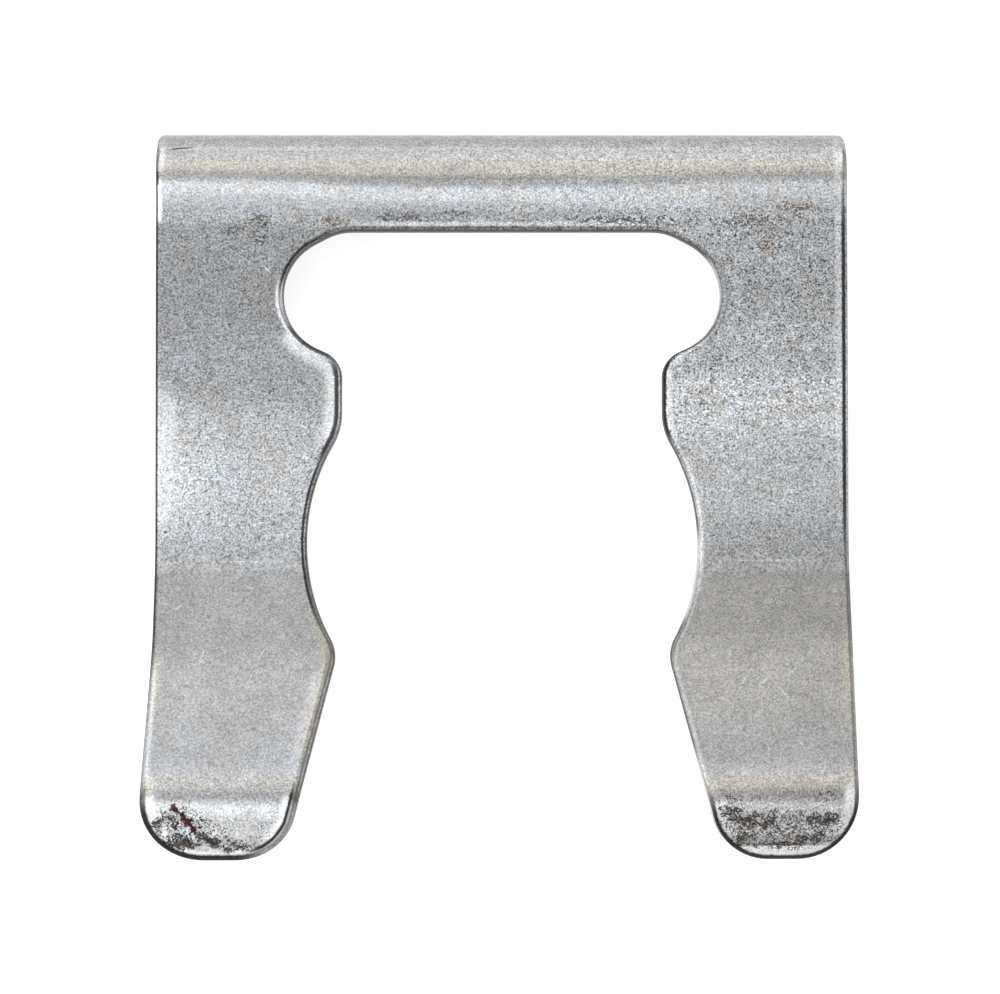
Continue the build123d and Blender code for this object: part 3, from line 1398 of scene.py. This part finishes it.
        # Bright strips, partly wear and partly painted highlight, over the steel; then dark lines,
        # partly painted shade and partly grime.
        colour = bench.blend(worn_and_highlight, self.steel(), finish.worn_and_highlight)
        colour = bench.blend(shade_and_grime, colour, finish.shade_and_grime)
        colour = bench.blend(crust, colour, dirt)
        colour = bench.blend(rust, colour, reds)
        colour = bench.blend(wall, colour, self.wall_colour())
        dirty = crust.at_least(rust)
        edges = shade_and_grime.at_least(wall)
        roughness = finish.roughness + dirty * finish.dirt_roughness
        roughness = roughness + edges * finish.edge_roughness - worn_and_highlight * finish.strip_gloss
        height = self.speckle * finish.grain_relief + self.fleck * finish.grain_relief
        height = height + self.patchy * finish.patch_relief
        relief = {"Strength": 1.0, "Distance": MILLIMETRE, "Height": height}
        bump = bench.node("ShaderNodeBump", {}, relief)
        return bench.finish({
            "Base Color": colour,
            "Metallic": 1.0 - dirty * finish.dirt_cover,
            "Specular IOR Level": finish.specular,
            "Roughness": roughness,
            "Normal": Wire(bench, bump.outputs[0]),
        })


@dataclass
class ClipSheet:
    """The clip itself: one sheet, punched, rolled at its edges and folded."""

    placement: Placement
    blank: Blank = field(default_factory=Blank)
    edge_round: float = 0.28
    edge_steps: int = 4
    burr_round: float = 0.06
    burr_steps: int = 2
    cut_spacing: float = 0.5
    flare_ease: float = 0.1

    def __post_init__(self) -> None:
        """Works out the folds that go with the blank."""
        self.folds = Folds(self.blank)

    def build(self) -> bpy.types.Object:
        """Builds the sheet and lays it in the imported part's frame.

        Returns:
            The finished piece, without its material.
        """
        mesh = bmesh.new()
        self.punch(mesh)
        outline = [[vert.co.to_2d() for vert in edge.verts] for edge in mesh.edges]
        rounded = self.thicken(mesh)
        self.cut(mesh)
        self.note_places(mesh, outline)
        self.flare(mesh)
        for vert in mesh.verts:
            vert.co = self.folds.folded(vert.co)
        mesh.transform(self.placement.from_millimetres())
        mesh.normal_update()
        normals = self.hardened(mesh, rounded)
        data = bpy.data.meshes.new("spring_clip_sheet")
        mesh.to_mesh(data)
        mesh.free()
        data.shade_smooth()
        data.normals_split_custom_set_from_vertices(normals)
        piece = bpy.data.objects.new("spring_clip_sheet", data)
        bpy.context.scene.collection.objects.link(piece)
        return piece

    def punch(self, mesh: bmesh.types.BMesh) -> None:
        """Draws the flat blank and fills it.

        Args:
            mesh: The mesh that takes the blank.
        """
        self.blank.draw(mesh, self.folds.blank_end)
        whole = mesh.verts[:] + mesh.edges[:]
        bmesh.ops.mirror(mesh, geom=whole, matrix=Matrix.Identity(4), merge_dist=TOUCHING, axis="X")
        bmesh.ops.contextual_create(mesh, geom=mesh.edges[:])

    def thicken(self, mesh: bmesh.types.BMesh) -> str:
        """Gives the blank its thickness, its rolled face edge and its small burr behind.

        Args:
            mesh: The flat blank.

        Returns:
            The name of the face layer that marks the rounded edges.
        """
        sheet = self.blank.sheet
        name = "rounded"
        layer = mesh.faces.layers.int.new(name)
        back = bmesh.ops.extrude_face_region(mesh, geom=mesh.faces[:])["geom"]
        back_verts = [item for item in back if isinstance(item, bmesh.types.BMVert)]
        bmesh.ops.translate(mesh, verts=back_verts, vec=(0, 0, -sheet))
        bmesh.ops.recalc_face_normals(mesh, faces=mesh.faces[:])
        face_edge = (0.0, self.edge_round, self.edge_steps)
        back_edge = (sheet, self.burr_round, self.burr_steps)
        for depth, offset, steps in (face_edge, back_edge):
            rim = [
                edge for edge in mesh.edges
                if all(abs(vert.co.z + depth) < TOUCHING for vert in edge.verts)
            ]
            made = bmesh.ops.bevel(
                mesh, geom=rim, offset=offset, offset_type="OFFSET", affect="EDGES", segments=steps,
                profile=0.5, material=-1, clamp_overlap=False, loop_slide=True,
            )
            for face in made["faces"]:
                face[layer] = 1
        return name

    def cut(self, mesh: bmesh.types.BMesh) -> None:
        """Cuts the sheet into a fine grid, so that it can fold.

        Args:
            mesh: The flat sheet.
        """
        half = ceil(self.blank.half_width / self.cut_spacing)
        columns = [index * self.cut_spacing for index in range(1 - half, half)]
        planes = [((0, y, 0), (0, 1, 0)) for y in self.folds.cuts()]
        planes += [((x, 0, 0), (1, 0, 0)) for x in columns]
        for point, normal in planes:
            whole = mesh.verts[:] + mesh.edges[:] + mesh.faces[:]
            bmesh.ops.bisect_plane(mesh, geom=whole, dist=TOUCHING, plane_co=point, plane_no=normal)

    def note_places(self, mesh: bmesh.types.BMesh, outline: list[list[Vector]]) -> None:
        """Stores each point's place on the blank and its distance from the edge.

        Args:
            mesh: The flat sheet.
            outline: The blank's outline, as pairs of points.
        """
        place = mesh.verts.layers.float_vector.new("place")
        rim = mesh.verts.layers.float.new("rim")
        ends = np.array([[tuple(end) for end in pair] for pair in outline])
        start = ends[:, 0]
        span = ends[:, 1] - start
        length = (span**2).sum(1)
        for vert in mesh.verts:
            off = np.array((vert.co.x, vert.co.y)) - start
            share = np.clip((off * span).sum(1) / length, 0, 1)[:, None]
            near = off - share * span
            vert[rim] = float(np.sqrt((near**2).sum(1).min()))
            vert[place] = (vert.co.x, vert.co.y, -vert.co.z)

    def flare(self, mesh: bmesh.types.BMesh) -> None:
        """Draws the left leg's outer side out towards its tip.

        Args:
            mesh: The flat sheet.
        """
        blank = self.blank
        inner = blank.half_width - blank.tip_width
        start = blank.tip_y + blank.flare_length
        for vert in mesh.verts:
            across = clamped((-vert.co.x - inner) / blank.tip_width)
            down = (start - vert.co.y) / blank.flare_length
            eased = hypot(max(down, 0.0), self.flare_ease) - self.flare_ease
            vert.co.x -= blank.flare * across * eased

    def hardened(self, mesh: bmesh.types.BMesh, rounded: str) -> list[Vector]:
        """Works out normals that keep the flats flat and turn only on the rounded edges.

        Args:
            mesh: The finished sheet.
            rounded: The name of the face layer that marks the rounded edges.

        Returns:
            A normal for each point.
        """
        layer = mesh.faces.layers.int[rounded]
        normals = []
        for vert in mesh.verts:
            total = Vector((0, 0, 0))
            for corner in vert.link_loops:
                if not corner.face[layer]:
                    total += corner.face.normal * corner.calc_angle()
            normals.append(total.normalized() if total.length > TOUCHING else vert.normal.copy())
        return normals


@dataclass(frozen=True)
class Softbox:
    """One large soft lamp, aimed at the clip."""

    name: str
    azimuth: float
    elevation: float
    distance: float
    size: float
    power: float

    def hang(self) -> bpy.types.Object:
        """Adds the lamp.

        Returns:
            The lamp.
        """
        light = bpy.data.lights.new(self.name, "AREA")
        light.shape = "DISK"
        light.size = self.size
        light.energy = self.power
        turn = radians(self.azimuth)
        lift = radians(self.elevation)
        away = Vector((sin(turn) * cos(lift), -cos(turn) * cos(lift), sin(lift)))
        lamp = bpy.data.objects.new(self.name, light)
        lamp.location = away * self.distance
        lamp.rotation_mode = "QUATERNION"
        lamp.rotation_quaternion = (-away).to_track_quat("-Z", "Y")
        lamp.visible_camera = False
        bpy.context.scene.collection.objects.link(lamp)
        return lamp


@dataclass(frozen=True)
class Camera:
    """The camera, held square over the clip's flat middle.

    The small angles and the shift come from the photograph, whose picture is 1000 wide.
    """

    picture_width: float = 1000.0
    picture_height: float = 994.0
    focal_pixels: float = 2800.0
    pixels_per_millimetre: float = 19.626
    seat_pixel: tuple[float, float] = (502.466, 542.684)
    pitch: float = 1.489
    yaw: float = 0.607
    roll: float = 0.068
    sensor: float = 36.0
    nearest: float = 0.01
    furthest: float = 10.0

    def set_up(self, placement: Placement) -> None:
        """Adds the camera and makes it the scene's own.

        Args:
            placement: Where the clip's flat middle lies.
        """
        data = bpy.data.cameras.new("camera")
        data.sensor_width = self.sensor
        data.lens = self.focal_pixels / self.picture_width * self.sensor
        data.clip_start = self.nearest
        data.clip_end = self.furthest
        across = (self.seat_pixel[0] - self.picture_width / 2) / self.pixels_per_millimetre
        down = (self.seat_pixel[1] - self.picture_height / 2) / self.pixels_per_millimetre
        distance = self.focal_pixels / self.pixels_per_millimetre
        turn = Matrix.Rotation(radians(self.roll), 4, "Z")
        turn = turn @ Matrix.Rotation(radians(self.yaw), 4, "Y")
        turn = turn @ Matrix.Rotation(-radians(self.pitch), 4, "X")
        away = Matrix.Translation(Vector((-across, down, distance)) * MILLIMETRE)
        camera = bpy.data.objects.new("camera", data)
        camera.matrix_world = placement.matrix @ turn.transposed() @ away
        bpy.context.scene.collection.objects.link(camera)
        bpy.context.scene.camera = camera


@dataclass(frozen=True)
class Studio:
    """Pale floor and soft light."""

    floor_size: float = 3.0
    floor_grey: float = 0.4
    floor_glow: float = 0.8
    floor_roughness: float = 0.9
    sky: float = 0.4
    lamps: tuple[Softbox, ...] = (
        Softbox("top_lamp", -70.0, 74.0, 0.6, 0.55, 1.2),
        Softbox("back_lamp", 188.0, 50.0, 0.6, 0.6, 1.9),
        Softbox("left_lamp", -90.0, 34.0, 0.6, 0.48, 1.1),
        Softbox("right_lamp", 90.0, 22.0, 0.6, 0.3, 0.45),
        Softbox("front_lamp", 0.0, 24.0, 0.6, 0.4, 0.6),
    )

    def set_up(self) -> None:
        """Adds the floor, the lamps and the even light round them."""
        mesh = bmesh.new()
        bmesh.ops.create_grid(mesh, x_segments=1, y_segments=1, size=self.floor_size / 2)
        data = bpy.data.meshes.new("floor")
        mesh.to_mesh(data)
        mesh.free()
        floor = bpy.data.objects.new("floor", data)
        bpy.context.scene.collection.objects.link(floor)
        bench = Bench("floor_paper")
        grey = (self.floor_grey, self.floor_grey, self.floor_grey, 1.0)
        data.materials.append(bench.finish({
            "Base Color": grey,
            "Roughness": self.floor_roughness,
            "Emission Color": WHITE,
            "Emission Strength": self.floor_glow,
        }))
        world = bpy.data.worlds.new("studio")
        world.use_nodes = True
        background = world.node_tree.nodes["Background"]
        background.inputs["Color"].default_value = WHITE
        background.inputs["Strength"].default_value = self.sky
        bpy.context.scene.world = world
        for lamp in self.lamps:
            lamp.hang()
        bpy.context.scene.view_settings.view_transform = "Standard"


def main() -> None:
    """Builds the clip and its studio, and reports each piece."""
    logging.basicConfig(level=logging.INFO, format="%(name)s: %(message)s")
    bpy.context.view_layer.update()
    sheet = ClipSheet(Placement.from_record(frame["record"], Blank().sheet))
    piece = sheet.build()
    painter = SteelPainter(SpringSteel(), sheet.folds)
    piece.data.materials.append(painter.material())
    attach(piece, "root")
    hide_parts("spring_clip")
    LOG.info("%s: %d points, %d faces", piece.name, len(piece.data.vertices), len(piece.data.polygons))
    Studio().set_up()
    Camera().set_up(sheet.placement)


if __name__ == "__main__":
    main()
